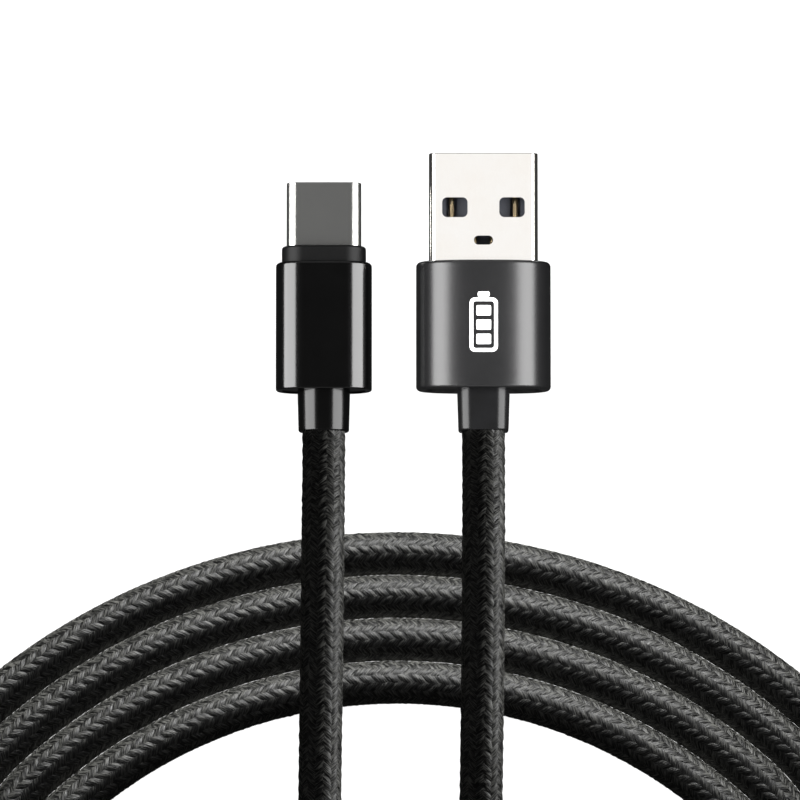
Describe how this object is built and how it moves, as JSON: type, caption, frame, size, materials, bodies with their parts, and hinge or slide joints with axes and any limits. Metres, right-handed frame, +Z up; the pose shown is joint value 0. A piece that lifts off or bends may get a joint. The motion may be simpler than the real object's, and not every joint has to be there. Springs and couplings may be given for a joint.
{
  "type": "charging cable",
  "caption": "Braided charging cable wound in a flat coil, with a wide flat plug and a small oval plug in metal sleeves side by side.",
  "frame": {"origin": "on the table, under the middle of the box round the two plugs without the free cable", "axes": "+Y points out of both plugs' mouths, +X from the oval plug to the wide plug, +Z up from the table"},
  "size_m": [0.1156, 0.1205, 0.0094],
  "materials": {
    "nickel_shield": "satin nickel plate over folded steel",
    "steel_shield": "satin drawn stainless steel",
    "spring_steel": "stamped spring steel",
    "gold_contact": "gold flash over copper alloy",
    "brass_ring": "plain crimped brass",
    "grey_sleeve": "dark grey anodised, satin",
    "black_sleeve": "black anodised, gloss",
    "black_plastic": "fine spark-eroded texture",
    "black_relief": "satin moulded",
    "charcoal_collar": "coarse matte texture",
    "contact_carrier": "moulded, semi-gloss",
    "natural_mould": "undyed moulding",
    "green_board": "green solder resist",
    "resistor_body": "black ceramic chip",
    "cable_jacket": "extruded jacket",
    "wire_red": "wire insulation",
    "wire_white": "wire insulation",
    "wire_green": "wire insulation",
    "wire_black": "wire insulation",
    "braided_cable": "woven charcoal nylon braid with a soft sheen"
  },
  "bodies": {
    "cable_and_plugs": {"wide_plug_shell": "nickel_shield", "wide_plug_insulator": "contact_carrier", "wide_plug_contact_power": "gold_contact", "wide_plug_contact_data_minus": "gold_contact", "wide_plug_contact_data_plus": "gold_contact", "wide_plug_contact_ground": "gold_contact", "wide_plug_front_collar": "black_plastic", "wide_plug_inner_mould": "natural_mould", "wide_plug_sleeve": "grey_sleeve", "wide_plug_strain_relief": "black_relief", "wide_plug_crimp_ring": "brass_ring", "wide_plug_cable_core": "cable_jacket", "wide_plug_wire_red": "wire_red", "wide_plug_wire_white": "wire_white", "wide_plug_wire_green": "wire_green", "wide_plug_wire_black": "wire_black", "oval_plug_shell": "steel_shield", "oval_plug_insulator": "contact_carrier", "oval_plug_contact_a1": "gold_contact", "oval_plug_contact_a4": "gold_contact", "oval_plug_contact_a5": "gold_contact", "oval_plug_contact_a6": "gold_contact", "oval_plug_contact_a7": "gold_contact", "oval_plug_contact_a9": "gold_contact", "oval_plug_contact_a12": "gold_contact", "oval_plug_contact_b1": "gold_contact", "oval_plug_contact_b4": "gold_contact", "oval_plug_contact_b5": "gold_contact", "oval_plug_contact_b9": "gold_contact", "oval_plug_contact_b12": "gold_contact", "oval_plug_ground_spring_upper": "spring_steel", "oval_plug_ground_spring_lower": "spring_steel", "oval_plug_circuit_board": "green_board", "oval_plug_resistor": "resistor_body", "oval_plug_front_collar": "charcoal_collar", "oval_plug_inner_mould": "natural_mould", "oval_plug_sleeve": "black_sleeve", "oval_plug_strain_relief": "black_relief", "oval_plug_crimp_ring": "brass_ring", "oval_plug_cable_core": "cable_jacket", "oval_plug_wire_red": "wire_red", "oval_plug_wire_white": "wire_white", "oval_plug_wire_green": "wire_green", "oval_plug_wire_black": "wire_black", "cable_coil": "braided_cable", "cable_tail_wide": "braided_cable", "cable_tail_oval": "braided_cable"},
    "latch_left": {"oval_plug_latch_left": "spring_steel"},
    "latch_right": {"oval_plug_latch_right": "spring_steel"}
  },
  "joints": [
    {"name": "latch_left_spring", "type": "hinge", "parent": "cable_and_plugs", "child": "latch_left", "pos_m": [-0.01294, 0.0013, 0.0033], "axis": [0, 0, 1], "range_deg": [0, 1.1], "stiffness_Nm_per_rad": 0.05},
    {"name": "latch_right_spring", "type": "hinge", "parent": "cable_and_plugs", "child": "latch_right", "pos_m": [-0.00678, 0.0013, 0.0033], "axis": [0, 0, 1], "range_deg": [-1.1, 0], "stiffness_Nm_per_rad": 0.05}
  ]
}
